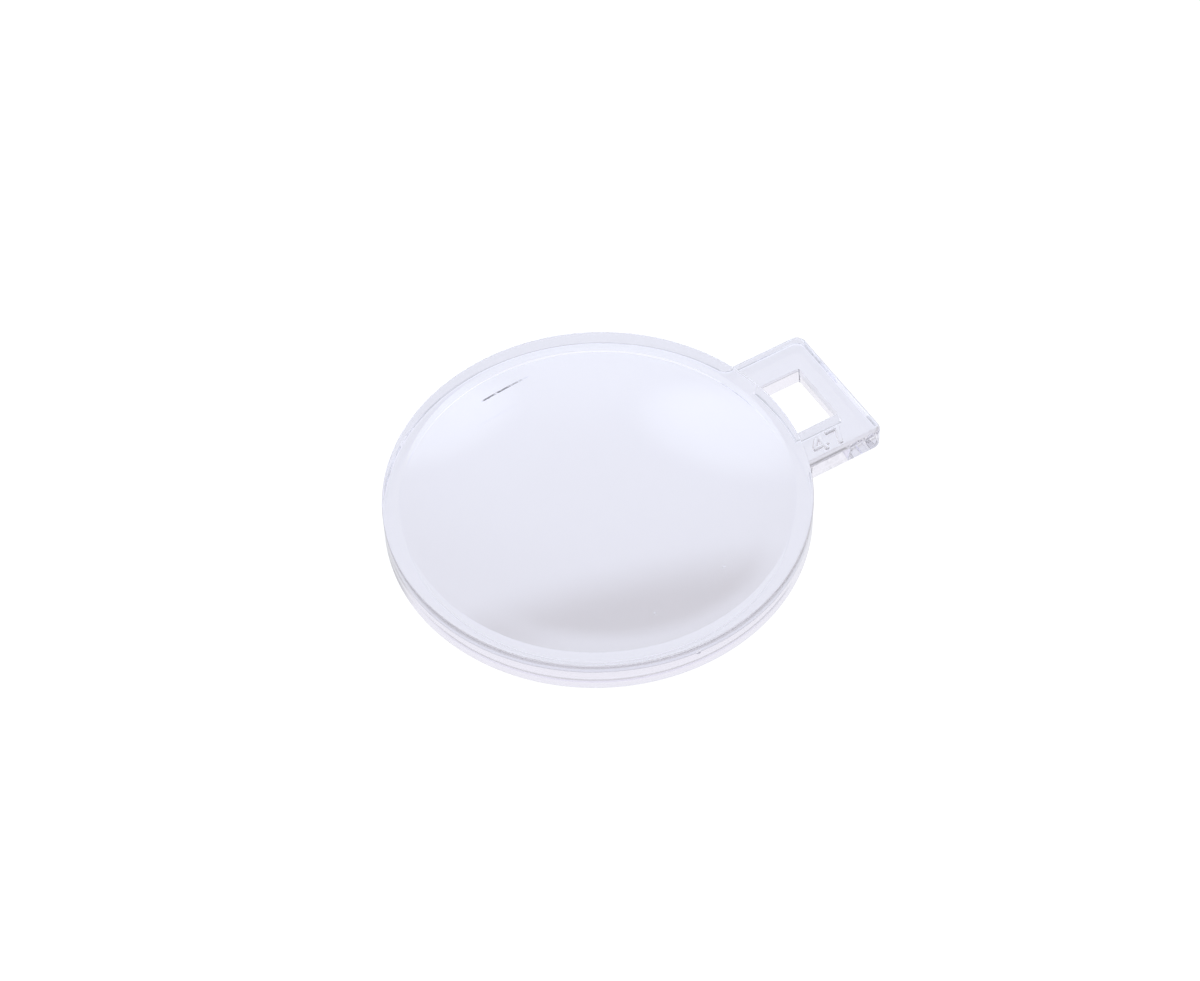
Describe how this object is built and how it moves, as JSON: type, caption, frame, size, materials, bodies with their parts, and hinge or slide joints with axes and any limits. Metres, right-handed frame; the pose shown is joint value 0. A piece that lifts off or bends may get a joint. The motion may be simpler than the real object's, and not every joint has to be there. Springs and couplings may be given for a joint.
{
  "type": "magnifier lens",
  "caption": "Clear moulded magnifying lens, crowned above and flat beneath, in a round rim with a flat tab whose window takes a holder's tongue.",
  "frame": {"origin": "on the optical axis, in the plane of the ring that the lens stands on", "axes": "+Z along the optical axis, from the foot ring to the crowned face; +X from the axis out through the middle of the tab; +Y across the tab"},
  "size_m": [0.0591, 0.05, 0.0079],
  "materials": {
    "clear_acrylic": "polished"
  },
  "bodies": {
    "root": {"magnifier_lens": "clear_acrylic"}
  },
  "joints": []
}
